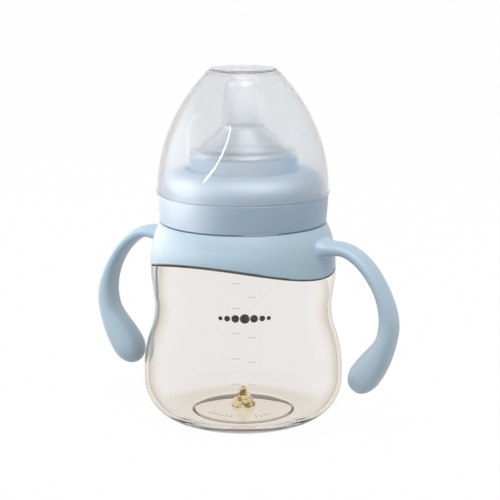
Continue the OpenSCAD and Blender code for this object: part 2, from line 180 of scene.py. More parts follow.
for lamp_name, (azimuth, height, distance, size, watts, gloss_only) in LAMPS.items():
    turn = CAMERA_AZIMUTH + math.radians(azimuth)
    place = Vector((distance * math.sin(turn), -distance * math.cos(turn), height))
    bpy.ops.object.light_add(type="AREA", location=place)
    light = bpy.context.object
    light.name = lamp_name
    light.rotation_euler = (LAMP_AIM - place).to_track_quat("-Z", "Y").to_euler()
    light.data.shape = "RECTANGLE"
    light.data.size, light.data.size_y = size
    light.data.energy = watts
    light.visible_diffuse = not gloss_only
    # The glow fades from the middle of the lamp to its edges
    light.data.use_nodes = True
    nodes = light.data.node_tree.nodes
    links = light.data.node_tree.links
    over = nodes.new("ShaderNodeNewGeometry")
    centred = add_math(nodes, "MULTIPLY_ADD", "ShaderNodeVectorMath")
    centred.inputs[1].default_value = (2, 2, 0)
    centred.inputs[2].default_value = (-1, -1, 0)
    squares = add_math(nodes, "MULTIPLY", "ShaderNodeVectorMath")
    faded = add_math(nodes, "SUBTRACT", "ShaderNodeVectorMath")
    faded.inputs[0].default_value = (1, 1, 1)
    parts = nodes.new("ShaderNodeSeparateXYZ")
    glow = add_math(nodes, "MULTIPLY")
    glow.use_clamp = True
    wire(links, [
        (over, "Parametric", centred, 0),
        (centred, "Vector", squares, 0),
        (centred, "Vector", squares, 1),
        (squares, "Vector", faded, 1),
        (faded, "Vector", parts, "Vector"),
        (parts, "X", glow, 0),
        (parts, "Y", glow, 1),
    ])
    links.new(glow.outputs["Value"], nodes["Emission"].inputs["Strength"])
# The veil is a reflection on the hood, and isn't seen through it
bpy.data.objects["hood_veil"].visible_transmission = False

# Slim bent tube lamps at the left draw a bright line on the hood, and a faint one. Each has its
# radius, its glow and its course, as azimuths and rises seen from the middle of the hood.
TUBE_LAMPS = {
    "tube_lamp": (0.0062, 24.0, [
        (-25.5, 43.5), (-22.5, 39.5), (-24.5, 33), (-27, 28), (-33, 18), (-41, 10.5), (-52, 3),
    ]),
    "faint_tube_lamp": (0.0045, 5.5, [
        (-95, 33.5), (-104, 28), (-105, 23.5), (-96, 19.5), (-88.5, 15), (-80.5, 8.5),
    ]),
}
TUBE_LAMP_DISTANCE = 0.6
HOOD_MIDDLE = Vector((0, 0, 0.108))
for tube_name, (tube_radius, tube_glow, course) in TUBE_LAMPS.items():
    bpy.ops.curve.primitive_nurbs_path_add()
    tube_lamp = bpy.context.object
    spline = tube_lamp.data.splines[0]
    spline.points.add(len(course) - len(spline.points))
    for point, (azimuth, rise) in zip(spline.points, course):
        turn, rise = CAMERA_AZIMUTH + math.radians(azimuth), math.radians(rise)
        level = math.cos(rise)
        ray = Vector((level * math.sin(turn), -level * math.cos(turn), math.sin(rise)))
        point.co = (*(HOOD_MIDDLE + ray * TUBE_LAMP_DISTANCE), 1)
    spline.use_endpoint_u = True
    tube_lamp.data.bevel_depth = tube_radius
    tube_lamp.data.resolution_u = 12
    bpy.ops.object.convert(target="MESH")
    tube_lamp = bpy.context.object
    tube_lamp.name = tube_name
    glowing_tube, nodes, paint, out = new_material(tube_name + "_glow")
    set_values(paint,
        Base_Color=(0, 0, 0, 1), Emission_Color=(1, 1, 1, 1), Emission_Strength=tube_glow
    )
    tube_lamp.data.materials.append(glowing_tube)
    tube_lamp.visible_camera = False

# ---------------------------------------------------------------- bottle
# The waisted body, blow-moulded in honey-tinted clear plastic with a thin wall. A recess under
# the floor leaves a standing ring, a wavy step takes the handle ring's skirt flush, and the
# neck above carries one raised thread. Its sizes are in millimetres.
MM = 0.001
BELLY_R = 37.95
WAIST_R = 33.7
SHOULDER_R = 35.15
BELLY_Z = 19.5
WAIST_Z = 44.2
BELLY_CURVE_R = 45.0
HEEL_R = 16.0
FLARE_ANGLE = 7.3
FLARE_BLEND_R = 30.0
BLEND_STEPS = 6
WALL = 1.5
RECESS_R = 19.6
RECESS_DEPTH = 1.9
RECESS_ROUNDING = 0.8
EDGE_LINE_Z = 0.55
EDGE_LINE_H = 0.2
FLOOR_T = 1.8
FLOOR_RUN = 6.0
FLOOR_STEPS = 8
HEEL_IN_ANGLE = 45
SKIRT_R = 33.55
SKIRT_GAP = 0.25
LEDGE_Z = 73.5
RIM_Z = 91.5
NECK_R = 27.6
NECK_BORE_R = 25.6
SPIGOT_IN_Z = 56.0
DOME_R = 30.0
DOME_Z = 62.0
WAVE_HIGH_Z = 65.1
WAVE_DROP = 6.9
BODY_WAVE_REACH = (52.0, 65.9)
STEP_DEPTH = 0.2


def arc(cx, cz, r, a, b, steps):
    """Points of an arc about (cx, cz) from angle a to angle b, in degrees."""
    turns = [math.radians(a + (b - a) * i / steps) for i in range(steps + 1)]
    return [(cx + r * math.cos(t), cz + r * math.sin(t)) for t in turns]


def rounded(path):
    """A path of (radius, height, rounding) corners with each corner turned into an arc."""
    points = []
    for i, (x, z, r) in enumerate(path):
        if r <= 0 or i in (0, len(path) - 1):
            points.append((x, z))
            continue
        q = Vector((x, z))
        u = (Vector(path[i - 1][:2]) - q).normalized()
        v = (Vector(path[i + 1][:2]) - q).normalized()
        half = u.angle(v) / 2
        c = q + (u + v).normalized() * r / math.sin(half)
        a = q + u * r / math.tan(half) - c
        b = q + v * r / math.tan(half) - c
        start = math.degrees(math.atan2(a.y, a.x))
        turn = math.degrees(math.atan2(a.x * b.y - a.y * b.x, a.dot(b)))
        points += arc(c.x, c.y, r, start, start + turn, 8)
    return points


def lathed(name, profile, steps, sharp=38):
    """A piece turned about the bottle's axis: one vertex is extruded along the profile, which
    is given in millimetres, and spun a full turn."""
    bpy.ops.object.select_all(action="DESELECT")
    bpy.ops.mesh.primitive_plane_add(size=MM)
    piece = bpy.context.object
    piece.name = name
    bpy.ops.object.mode_set(mode="EDIT")
    bpy.ops.mesh.select_all(action="SELECT")
    bpy.ops.mesh.merge(type="CENTER")
    x, z = profile[0]
    bpy.ops.transform.translate(value=(x * MM, 0, z * MM))
    for (xa, za), (xb, zb) in zip(profile, profile[1:]):
        step = ((xb - xa) * MM, 0, (zb - za) * MM)
        bpy.ops.mesh.extrude_region_move(TRANSFORM_OT_translate={"value": step})
    bpy.ops.mesh.select_all(action="SELECT")
    bpy.ops.mesh.spin(steps=steps, angle=2 * math.pi, center=(0, 0, 0), axis=(0, 0, 1))
    bpy.ops.mesh.select_all(action="SELECT")
    bpy.ops.mesh.remove_doubles(threshold=0.004 * MM)
    bpy.ops.mesh.normals_make_consistent(inside=False)
    bpy.ops.object.mode_set(mode="OBJECT")
    bpy.ops.object.shade_smooth_by_angle(angle=math.radians(sharp))
    return piece


# The belly curve and the waist curve meet at one tangent
curve_sum = ((BELLY_R - WAIST_R) ** 2 + (WAIST_Z - BELLY_Z) ** 2) / (2 * (BELLY_R - WAIST_R))
waist_curve_r = curve_sum - BELLY_CURVE_R
meet_angle = math.degrees(math.asin((WAIST_Z - BELLY_Z) / curve_sum))
flare_slope = math.tan(math.radians(FLARE_ANGLE))
flare_r = WAIST_R + waist_curve_r * (1 - math.cos(math.radians(FLARE_ANGLE)))
flare_z = WAIST_Z + waist_curve_r * math.sin(math.radians(FLARE_ANGLE))
flare_top_z = flare_z + (SHOULDER_R - flare_r) / flare_slope
blend_z = flare_top_z + FLARE_BLEND_R * math.tan(math.radians(FLARE_ANGLE / 2))
wave_r = (SHOULDER_R**2 + WAVE_DROP**2) / (2 * WAVE_DROP)
wave_mean_z = WAVE_HIGH_Z - WAVE_DROP / 2
spigot_r = SKIRT_R - SKIRT_GAP
floor_z = RECESS_DEPTH + FLOOR_T


def side(inset, first=-90):
    """The curve from the heel to the top of the flare, moved inwards by inset."""
    return (
        arc(BELLY_R - HEEL_R, HEEL_R, HEEL_R - inset, first, 0, 22)
        + arc(BELLY_R - BELLY_CURVE_R, BELLY_Z, BELLY_CURVE_R - inset, 0, meet_angle, 18)
        + arc(WAIST_R + waist_curve_r, WAIST_Z, waist_curve_r + inset,
              180 + meet_angle, 180 - FLARE_ANGLE, 18)[1:]
        + arc(SHOULDER_R - FLARE_BLEND_R, blend_z, FLARE_BLEND_R - inset,
              -FLARE_ANGLE, 0, BLEND_STEPS)
    )


def wave_lift(x, y):
    """How far the wavy step stands above its mean height in the direction of (x, y)."""
    along = SHOULDER_R * x / math.hypot(x, y)
    return WAVE_HIGH_Z - wave_r + math.sqrt(wave_r**2 - along**2) - wave_mean_z


def make_wavy(piece, low_z, high_z, least_r=0.0):
    """Shifts a lathed piece up and down along its wavy step, outside least_r. The shift fades
    to nothing at low_z and high_z."""
    for vertex in piece.data.vertices:
        x, y, z = (c / MM for c in vertex.co)
        if math.hypot(x, y) < least_r or not low_z < z < high_z:
            continue
        if z < wave_mean_z:
            share = (z - low_z) / (wave_mean_z - low_z)
        else:
            share = (high_z - z) / (high_z - wave_mean_z)
        vertex.co.z += MM * wave_lift(x, y) * min(1.0, share)


# Inside, the shoulder turns in to the neck's bore, and the heel runs out on the floor
spigot_in_r = spigot_r - WALL
ledge_in_z = LEDGE_Z - WALL
neck_in = spigot_in_r - NECK_BORE_R
inner_turn_r = (neck_in**2 + (ledge_in_z - DOME_Z) ** 2) / (2 * neck_in)
inner_turn = math.degrees(math.asin((ledge_in_z - DOME_Z) / inner_turn_r))
heel_in_turn = math.radians(HEEL_IN_ANGLE)
heel_in_rise = HEEL_R - (HEEL_R - WALL) * math.sin(heel_in_turn) - floor_z
heel_in_r = BELLY_R - HEEL_R + (HEEL_R - WALL) * math.cos(heel_in_turn) - heel_in_rise
wall_in = list(reversed(side(WALL, -HEEL_IN_ANGLE)))[BLEND_STEPS + 1:]
floor_curve = []
for i in range(1, FLOOR_STEPS + 1):
    share = i / FLOOR_STEPS
    rise = (1 - share) ** 2 * heel_in_rise
    floor_curve.append((heel_in_r + rise - FLOOR_RUN * share**2, floor_z + rise))
shoulder_r = DOME_R - (SHOULDER_R - spigot_r)
shoulder_turn = math.degrees(math.asin((LEDGE_Z - 0.3 - DOME_Z) / shoulder_r))
step_z = wave_mean_z - STEP_DEPTH
bottle_profile = (
    rounded([(0, RECESS_DEPTH, 0), (RECESS_R - RECESS_ROUNDING, RECESS_DEPTH, RECESS_ROUNDING),
             (RECESS_R, EDGE_LINE_Z + EDGE_LINE_H, 0)])
    + [(RECESS_R, EDGE_LINE_Z - EDGE_LINE_H), (RECESS_R, 0.25), (RECESS_R + 0.15, 0.08),
       (RECESS_R + 0.5, 0)]
    + side(0)
    + [(SHOULDER_R, blend_z + 0.6), (SHOULDER_R, step_z - 0.25), (SHOULDER_R - 0.08, step_z - 0.08),
       (SHOULDER_R - 0.25, step_z), (spigot_r, step_z), (spigot_r, step_z + 0.1),
       (spigot_r, DOME_Z + 3.9)]
    + arc(SHOULDER_R - DOME_R, DOME_Z, shoulder_r, 8, shoulder_turn, 12)
    + rounded([(30.6, LEDGE_Z, 0), (NECK_R, LEDGE_Z, 0.4), (NECK_R, RIM_Z, 0.6),
               (NECK_BORE_R, RIM_Z, 0.6), (NECK_BORE_R, ledge_in_z, 0)])
    + arc(spigot_in_r - inner_turn_r, DOME_Z, inner_turn_r, inner_turn, 0, 12)[1:]
    + [(spigot_in_r, SPIGOT_IN_Z)]
    + wall_in
    + floor_curve
    + [(RECESS_R, floor_z), (0, floor_z)]
)
bottle = lathed("bottle_body", bottle_profile, steps=192)
make_wavy(bottle, *BODY_WAVE_REACH, spigot_r - 0.5)

# The raised thread on the neck: a strip of the neck's wall wound up one turn and a half
THREAD_PITCH = 5.0
THREAD_TURNS = 1.5
THREAD_DEPTH = 1.7
THREAD_RAMP = 18
THREAD_SINK = 0.3
THREAD_Z = 80.0


def wound_ridge(name, wall_r, out, z, first):
    """A raised thread ridge on a round wall: a grid is added and wound up a helix. It stands
    outwards where out is 1 and inwards where it is -1."""
    bpy.ops.object.select_all(action="DESELECT")
    long, across = 108, 8
    bpy.ops.mesh.primitive_grid_add(x_subdivisions=long, y_subdivisions=across, size=2)
    ridge = bpy.context.object
    ridge.name = name
    section = [(-THREAD_SINK, -1.0), (0, -0.9), (0.75, -0.72), (1, -0.5), (1, 0), (1, 0.5),
               (0.75, 0.72), (0, 0.9), (-THREAD_SINK, 1.0)]
    for vertex in ridge.data.vertices:
        along = (vertex.co.x + 1) / 2
        depth, high = section[round((vertex.co.y + 1) / 2 * across)]
        fade = min(1, along * THREAD_RAMP, (1 - along) * THREAD_RAMP)
        tall = depth * THREAD_DEPTH * fade if depth > 0 else depth
        turn = math.radians(first) + along * THREAD_TURNS * 2 * math.pi
        r = wall_r + out * tall
        height = z + THREAD_PITCH * turn / (2 * math.pi) + high
        vertex.co = (r * MM * math.cos(turn), r * MM * math.sin(turn), height * MM)
    bpy.ops.object.shade_smooth_by_angle(angle=math.radians(50))
    return ridge


def joined(name, pieces):
    """Joins pieces into the first of them, under a name."""
    bpy.ops.object.select_all(action="DESELECT")
    for piece in pieces:
        piece.select_set(True)
    bpy.context.view_layer.objects.active = pieces[0]
    bpy.ops.object.join()
    pieces[0].name = name
    return pieces[0]


neck_thread = wound_ridge("neck_thread", NECK_R, 1, THREAD_Z, 0)
bottle = joined("bottle_body", [bottle, neck_thread])

# Honey-tinted clear plastic: pale head on, brown where the eye looks along the wall, and near
# black at the very edge as a painted dark outline. Each tint has its place from facing the eye,
# 0, to edge on, 1.
AMBER_TINTS = [
    (0.0, (0.905, 0.897, 0.887)), (0.2, (0.91, 0.90, 0.89)), (0.42, (0.935, 0.925, 0.915)),
    (0.54, (0.90, 0.88, 0.86)), (0.66, (0.78, 0.72, 0.64)), (0.80, (0.60, 0.50, 0.39)),
    (0.92, (0.08, 0.05, 0.035)),
]
# Where the wall is thick: below which height, over what height it fades in, and its tint
AMBER_THICK = (0.0045, 0.004, (0.985, 0.975, 0.965))
AMBER_SHADE = (0.97, 0.95, 0.92, 1)
BODY_IOR = 1.2


def effect_group(name, inputs, outputs):
    """A node group with its inputs and outputs, each named with its kind of socket."""
    group = bpy.data.node_groups.new(name, "ShaderNodeTree")
    for in_out, sockets in (("INPUT", inputs), ("OUTPUT", outputs)):
        for socket, kind in sockets.items():
            group.interface.new_socket(socket, in_out=in_out, socket_type="NodeSocket" + kind)
    return group, group.nodes.new("NodeGroupInput"), group.nodes.new("NodeGroupOutput")


def add_effect(nodes, group, **values):
    """Places a node group in a material with the material's own values."""
    effect = nodes.new("ShaderNodeGroup")
    effect.node_tree = group
    set_values(effect, **values)
    return effect


# Moulded plastic changes its look with height where its wall gets thicker or turns over
height_zone, zone_in, zone_out = effect_group(
    "height_zone", {"Clear Height": "Float", "Full Height": "Float"}, {"Mask": "Float"}
)
zone_coords = height_zone.nodes.new("ShaderNodeTexCoord")
zone_place = height_zone.nodes.new("ShaderNodeSeparateXYZ")
zone_share = height_zone.nodes.new("ShaderNodeMapRange")
wire(height_zone.links, [
    (zone_coords, "Object", zone_place, "Vector"),
    (zone_place, "Z", zone_share, "Value"),
    (zone_in, "Clear Height", zone_share, "From Min"),
    (zone_in, "Full Height", zone_share, "From Max"),
    (zone_share, "Result", zone_out, "Mask"),
])


def clear_plastic(name, tints, ior, roughness, shade, thick=None):
    """Clear moulded plastic whose tint deepens along its edges, ending in a painted dark outline
    where the tints end dark. It lets lamps through, tinted by shade, and thick names the height
    below which it takes a deeper tint as well, the height over which that fades in, and the
    tint: thicker plastic on the body's floor, painted shade on the hood's rim and a painted blue
    reflection on the teat."""
    material, nodes, shader, out = new_material(name)
    links = material.node_tree.links
    facing = add_node(nodes, "ShaderNodeLayerWeight", Blend=0.5)
    tint = nodes.new("ShaderNodeValToRGB")
    for place, colour in tints[1:-1]:
        tint.color_ramp.elements.new(place)
    for stop, (place, colour) in zip(tint.color_ramp.elements, tints):
        stop.position = place
        stop.color = (*colour, 1)
    links.new(facing.outputs["Facing"], tint.inputs["Fac"])
    if thick:
        full_z, fade, deep_tint = thick
        low = add_effect(nodes, height_zone, Clear_Height=full_z + fade, Full_Height=full_z)
        deeper = nodes.new("ShaderNodeMix")
        deeper.data_type = "RGBA"
        deeper.blend_type = "MULTIPLY"
        deeper.inputs[7].default_value = (*deep_tint, 1)
        wire(links, [
            (low, "Mask", deeper, 0),
            (tint, "Color", deeper, 6),
            (deeper, 2, shader, "Base Color"),
        ])
    else:
        links.new(tint.outputs["Color"], shader.inputs["Base Color"])
    set_values(shader,
        Transmission_Weight=1.0, IOR=ior, Specular_Tint=(0.5, 0.5, 0.5, 1), Roughness=roughness
    )
    path = nodes.new("ShaderNodeLightPath")
    lamp_rays = add_math(nodes, "MAXIMUM")
    wire(links, [
        (path, "Is Shadow Ray", lamp_rays, 0),
        (path, "Is Diffuse Ray", lamp_rays, 1),
    ])
    through = add_node(nodes, "ShaderNodeBsdfTransparent", Color=shade)
    mix = nodes.new("ShaderNodeMixShader")
    wire(links, [
        (lamp_rays, "Value", mix, "Fac"),
        (shader, "BSDF", mix, 1),
        (through, "BSDF", mix, 2),
        (mix, "Shader", out, "Surface"),
    ])
    return material, nodes, shader


amber, nodes, shader = clear_plastic(
    "clear_amber_plastic", AMBER_TINTS, BODY_IOR, 0.0, AMBER_SHADE, AMBER_THICK
)
# A dark brown line of painted shade runs round the outside of the heel, standing in for the
# recess's edge seen through the wall. It shows as the heel turns edge on.
HEEL_LINE_Z = 3.5
HEEL_LINE_REACH = 0.5
HEEL_LINE_TURN = (0.45, 0.6)
PAINTED_HEEL_SHADE = (0.05, 0.03, 0.02, 1)


def mark(piece, name, is_marked, value=1.0):
    """Marks vertices with a value that materials read by its name. The test is_marked takes
    the radius and the place of a vertex, in millimetres."""
    marks = piece.data.attributes.new(name, "FLOAT", "POINT")
    for vertex in piece.data.vertices:
        x, y, z = (c / MM for c in vertex.co)
        marks.data[vertex.index].value = value if is_marked(math.hypot(x, y), x, y, z) else 0.0


def on_heel_line(r, x, y, z):
    """The outside of the heel, near the line's height."""
    outside = abs(math.hypot(r - BELLY_R + HEEL_R, z - HEEL_R) - HEEL_R) < 0.05
    return outside and abs(z - HEEL_LINE_Z) < HEEL_LINE_REACH


mark(bottle, "heel_shade_line", on_heel_line)
heel_mark = nodes.new("ShaderNodeAttribute")
heel_mark.attribute_name = "heel_shade_line"
heel_facing = add_node(nodes, "ShaderNodeLayerWeight", Blend=0.5)
heel_edge = add_node(nodes, "ShaderNodeMapRange",
    From_Min=HEEL_LINE_TURN[0], From_Max=HEEL_LINE_TURN[1]
)
heel_share = add_math(nodes, "MULTIPLY")
heel_shading = nodes.new("ShaderNodeMix")
heel_shading.data_type = "RGBA"
heel_shading.inputs[7].default_value = PAINTED_HEEL_SHADE
links = amber.node_tree.links
wire(links, [
    (heel_mark, "Fac", heel_share, 0),
    (heel_facing, "Facing", heel_edge, "Value"),
    (heel_edge, "Result", heel_share, 1),
    (heel_share, "Value", heel_shading, 0),
])
links.new(shader.inputs["Base Color"].links[0].from_socket, heel_shading.inputs[6])
links.new(heel_shading.outputs[2], shader.inputs["Base Color"])
bottle.data.materials.append(amber)

# The recess holds a deeper honey tint. A fine dark brown line of painted shade runs round its
# wall, and a line of painted shadow along the wavy step that the handle ring meets. Each finish
# has its tints and how clear it is.
FLOOR_FINISHES = {
    "amber_recess_plastic": (
        [(0.0, (0.93, 0.89, 0.83)), (0.6, (0.85, 0.77, 0.66)), (1.0, (0.73, 0.62, 0.48))], 1.0
    ),
    "amber_shade_line_plastic": ([(0.0, (0.20, 0.12, 0.06)), (1.0, (0.10, 0.055, 0.03))], 0.3),
    "amber_wall_plastic": ([(0.0, (0.92, 0.83, 0.70)), (1.0, (0.80, 0.68, 0.52))], 0.4),
}
FLOOR_GLOSS = (0.90, 0.78, 0.62, 1)
for name, (tints, clearness) in FLOOR_FINISHES.items():
    floor_plastic, nodes, shader = clear_plastic(name, tints, BODY_IOR, 0.0, (*tints[0][1], 1))
    set_values(shader, Specular_Tint=FLOOR_GLOSS, Transmission_Weight=clearness)
    bottle.data.materials.append(floor_plastic)
RECESS_FACES, SHADE_LINE_FACES, WALL_FACES = 1, 2, 3
for face in bottle.data.polygons:
    x, y, z = (c / MM for c in face.center)
    r = math.hypot(x, y)
    in_recess = z < floor_z + 0.1 and r < RECESS_R + 0.02
    if in_recess and abs(z - EDGE_LINE_Z) < EDGE_LINE_H / 2:
        face.material_index = SHADE_LINE_FACES
    elif in_recess and r > RECESS_R - RECESS_ROUNDING and abs(face.normal.z) < 0.9:
        face.material_index = WALL_FACES
    elif in_recess:
        face.material_index = RECESS_FACES
    # Along the wavy step the dark line is painted shadow under the ring's skirt
    elif r > spigot_r - 0.02 and abs(z - step_z - wave_lift(x, y)) < 0.3:
        face.material_index = SHADE_LINE_FACES
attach(bottle, "bottle")
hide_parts("bottle")

# ---------------------------------------------------------------- prints
# The filling scale is pad-printed on the front of the body in faint pink ink, with strokes for
# two units and their numbers. Between them stands a plain row of dots in near-black ink.
INK = 0.05
STROKE_L = 2.95
STROKE_H = 0.42
NUMBER_H = 2.1
NUMBER_GAP = 1.0
# Each column's place round the wall, where its numbers stand, how they line up, and its marks
SCALE_COLUMNS = [
    (-4.07, -NUMBER_GAP, "RIGHT",
     [("150", 60.0), ("120", 50.6), ("90", 41.2), ("60", 32.2), ("30", 23.1)]),
    (1.69, STROKE_L + NUMBER_GAP, "LEFT",
     [("5", 54.9), ("4", 47.2), ("3", 39.6), ("2", 31.0), ("1", 22.8)]),
]
# Each dot's place round the wall and its radius
DOTS = [(-8.4, 0.8), (-5.9, 1.1), (-2.9, 1.45), (0.55, 1.8), (3.95, 1.45), (6.95, 1.1), (9.4, 0.8)]
DOTS_Z = 46.6
body_side = side(0)


def wall_radius(z):
    """The body's outer radius at height z, in millimetres."""
    for (ra, za), (rb, zb) in zip(body_side, body_side[1:]):
        if za <= z <= zb and zb > za:
            return ra + (rb - ra) * (z - za) / (zb - za)
    return SHOULDER_R


def printed(piece, arc_mm, z_mm):
    """Lays a flat shape, drawn in millimetres, on the body's wall as a film of ink."""
    for vertex in piece.data.vertices:
        z = z_mm + vertex.co.y
        r = wall_radius(z) + INK
        turn = CAMERA_AZIMUTH + (arc_mm + vertex.co.x) / r
        vertex.co = (r * MM * math.sin(turn), -r * MM * math.cos(turn), z * MM)
    return piece


def stroke(length, height):
    """A flat bar that starts at the origin, in millimetres, with enough faces to bend."""
    bpy.ops.object.select_all(action="DESELECT")
    bpy.ops.mesh.primitive_grid_add(x_subdivisions=8, y_subdivisions=2, size=1)
    bar = bpy.context.object
    bpy.ops.object.mode_set(mode="EDIT")
    bpy.ops.mesh.select_all(action="SELECT")
    bpy.ops.transform.resize(value=(length, height, 1))
    bpy.ops.transform.translate(value=(length / 2, 0, 0))
    bpy.ops.object.mode_set(mode="OBJECT")
    return bar


def repeated(piece, count):
    """A piece and its copies, each with its own mesh."""
    pieces = [piece]
    while len(pieces) < count:
        bpy.ops.object.duplicate()
        pieces.append(bpy.context.object)
    return pieces


def number(text, height, align):
    """A printed number of about this height, made a mesh."""
    bpy.ops.object.select_all(action="DESELECT")
    bpy.ops.object.text_add()
    label = bpy.context.object
    label.data.body = text
    label.data.size = height * 1.4
    label.data.align_x = align
    label.data.align_y = "CENTER"
    bpy.ops.object.convert(target="MESH")
    return bpy.context.object


def dot(radius):
    """A flat round dot, in millimetres."""
    bpy.ops.object.select_all(action="DESELECT")
    bpy.ops.mesh.primitive_circle_add(vertices=28, radius=radius, fill_type="TRIFAN")
    return bpy.context.object


# The pad leaves slightly less ink in patches
patchy_ink, patchy_in, patchy_out = effect_group(
    "patchy_ink", {"Least Cover": "Float", "Most Cover": "Float"}, {"Cover": "Float"}
)
patch_coords = patchy_ink.nodes.new("ShaderNodeTexCoord")
patch_noise = add_node(patchy_ink.nodes, "ShaderNodeTexNoise", Scale=900)
patch_range = add_node(patchy_ink.nodes, "ShaderNodeMapRange", From_Min=0.3, From_Max=0.7)
wire(patchy_ink.links, [
    (patch_coords, "Object", patch_noise, "Vector"),
    (patch_noise, "Fac", patch_range, "Value"),
    (patchy_in, "Least Cover", patch_range, "To Min"),
    (patchy_in, "Most Cover", patch_range, "To Max"),
    (patch_range, "Result", patchy_out, "Cover"),
])


def ink(name, colour, cover):
    """Thin printing ink: even colour, slightly patchy."""
    material, nodes, shader, _ = new_material(name)
    patches = add_effect(nodes, patchy_ink, Least_Cover=cover[0], Most_Cover=cover[1])
    material.node_tree.links.new(patches.outputs["Cover"], shader.inputs["Alpha"])
    set_values(shader, Base_Color=(*colour, 1), Roughness=0.45)
    return material


stroke_places = [(a, z) for a, _, _, marks in SCALE_COLUMNS for _, z in marks]
strokes = repeated(stroke(STROKE_L, STROKE_H), len(stroke_places))
scale_marks = joined(
    "scale_strokes", [printed(bar, a, z) for bar, (a, z) in zip(strokes, stroke_places)]
)
scale_marks.data.materials.append(ink("pink_ink", (0.95, 0.58, 0.56), (0.4, 0.6)))
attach(scale_marks, "bottle")

numbers = joined("scale_numbers", [
    printed(number(text, NUMBER_H, align), a + number_a, z)
    for a, number_a, align, marks in SCALE_COLUMNS for text, z in marks
])
numbers.data.materials.append(ink("white_ink", (0.95, 0.95, 0.95), (0.1, 0.18)))
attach(numbers, "bottle")

dots = joined("dot_row", [printed(dot(r), a, DOTS_Z) for a, r in DOTS])
dots.data.materials.append(ink("black_ink", (0.022, 0.018, 0.018), (0.97, 1.0)))
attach(dots, "bottle")

# Faint moulded ticks stand round the front of the recess, in two groups
TICK_W = 0.6
TICK_L = 2.6
TICKS_R = 15.6
TICK_ANGLES = [-52, -45, -38, -31, -24, -17, 18, 25, 32, 39]
floor_ticks = repeated(stroke(TICK_W, TICK_L), len(TICK_ANGLES))
for tick, angle in zip(floor_ticks, TICK_ANGLES):
    turn = CAMERA_AZIMUTH + math.radians(angle)
    for vertex in tick.data.vertices:
        across, deep = TICK_W / 2 - vertex.co.x, TICKS_R + vertex.co.y
        vertex.co = (
            (deep * math.sin(turn) + across * math.cos(turn)) * MM,
            (across * math.sin(turn) - deep * math.cos(turn)) * MM,
            (floor_z + INK) * MM,
        )
floor_marks = joined("floor_marks", floor_ticks)
floor_marks.data.materials.append(ink("amber_relief", (0.30, 0.21, 0.12), (0.3, 0.6)))
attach(floor_marks, "bottle")

# ---------------------------------------------------------------- floor boss
# A small boss in the middle of the floor, where the thick plastic turns deep gold: three
# stepped rings and a knob, moulded in one with the body.
BOSS_R = 4.6
BOSS_RING_H = 1.7
BOSS_KNOB_R = 1.7
BOSS_KNOB_H = 3.0
DARK_GOLD = (0.42, 0.21, 0.05, 1)
PALE_GOLD = (1.0, 0.90, 0.58, 1)
ring_1_z, ring_2_z, ring_3_z = (floor_z + BOSS_RING_H * i for i in (1, 2, 3))
knob_z = ring_3_z + BOSS_KNOB_H
boss_profile = rounded([
    (0, floor_z, 0),
    (BOSS_R, floor_z, 0.3),
    (BOSS_R, ring_1_z, 0.7),
    (BOSS_R * 0.78, ring_1_z, 0.15),
    (BOSS_R * 0.86, ring_2_z, 0.7),
    (BOSS_R * 0.6, ring_2_z, 0.15),
    (BOSS_R * 0.68, ring_3_z, 0.8),
    (BOSS_KNOB_R * 0.8, ring_3_z, 0.1),
    (BOSS_KNOB_R, knob_z, 1.3),
    (0, knob_z, 0),
])
boss = lathed("floor_boss_skin", boss_profile, steps=64, sharp=60)
gold, nodes, shader, _ = new_material("golden_boss_plastic")
links = gold.node_tree.links
coords = nodes.new("ShaderNodeTexCoord")
swirl = add_node(nodes, "ShaderNodeTexNoise", Scale=300, Detail=3, Distortion=1.2)
depth = nodes.new("ShaderNodeValToRGB")
for stop, place, colour in zip(depth.color_ramp.elements, (0.40, 0.54), (DARK_GOLD, PALE_GOLD)):
    stop.position = place
    stop.color = colour
ripple = add_node(nodes, "ShaderNodeBump", Strength=0.5, Distance=0.0006)
wire(links, [
    (coords, "Object", swirl, "Vector"),
    (swirl, "Fac", depth, "Fac"),
    (depth, "Color", shader, "Base Color"),
    (swirl, "Fac", ripple, "Height"),
    (ripple, "Normal", shader, "Normal"),
])
set_values(shader, Roughness=0.16, Metallic=0.85)
boss.data.materials.append(gold)
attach(boss, "bottle")
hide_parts("floor_boss")

# ---------------------------------------------------------------- handle ring
# One pale blue moulding in satin polypropylene: a ring that slips over the neck and sits on the
# shoulder ledge, with two open-ended handles that swell to a thumb-like bulb.
RING_TOP_Z = 76.5
RING_WAVE_REACH = (50.0, 71.0)
COLLAR_ROOT_R = 29.75
ROOT_Z = 67.0
HANDLE_SIDES = 40
HANDLE_ROWS = 72
HANDLE_CURVE = [(0, 0), (18.0, 12.4), (32.9, -25.8), (30.2, -26.5), (18.05, -44.5)]
HANDLE_ROOT_R = 33.0
# The handle's half thickness and half width at shares of its length, and its rounded end
HANDLE_THICK = [(0, 3.0), (0.14, 2.2), (0.38, 2.2), (0.72, 3.49), (1, 5.83)]
HANDLE_WIDE = [(0, 6.5), (0.2, 5.0), (0.6, 5.0), (1, 6.0)]
HANDLE_CAP = 7.9
HANDLE_SQUARENESS = 0.77
# The handle starts this far along its curve, behind the fillet that joins it to the ring
HANDLE_START = 0.075
FILLET_R = 1.6
FILLET_SINK = 0.05
ROOT_SINK = 0.6
# Shares of the mesh rows that make the fillet and the rounded end
FILLET_ROWS = 0.12
CAP_ROWS = 0.1

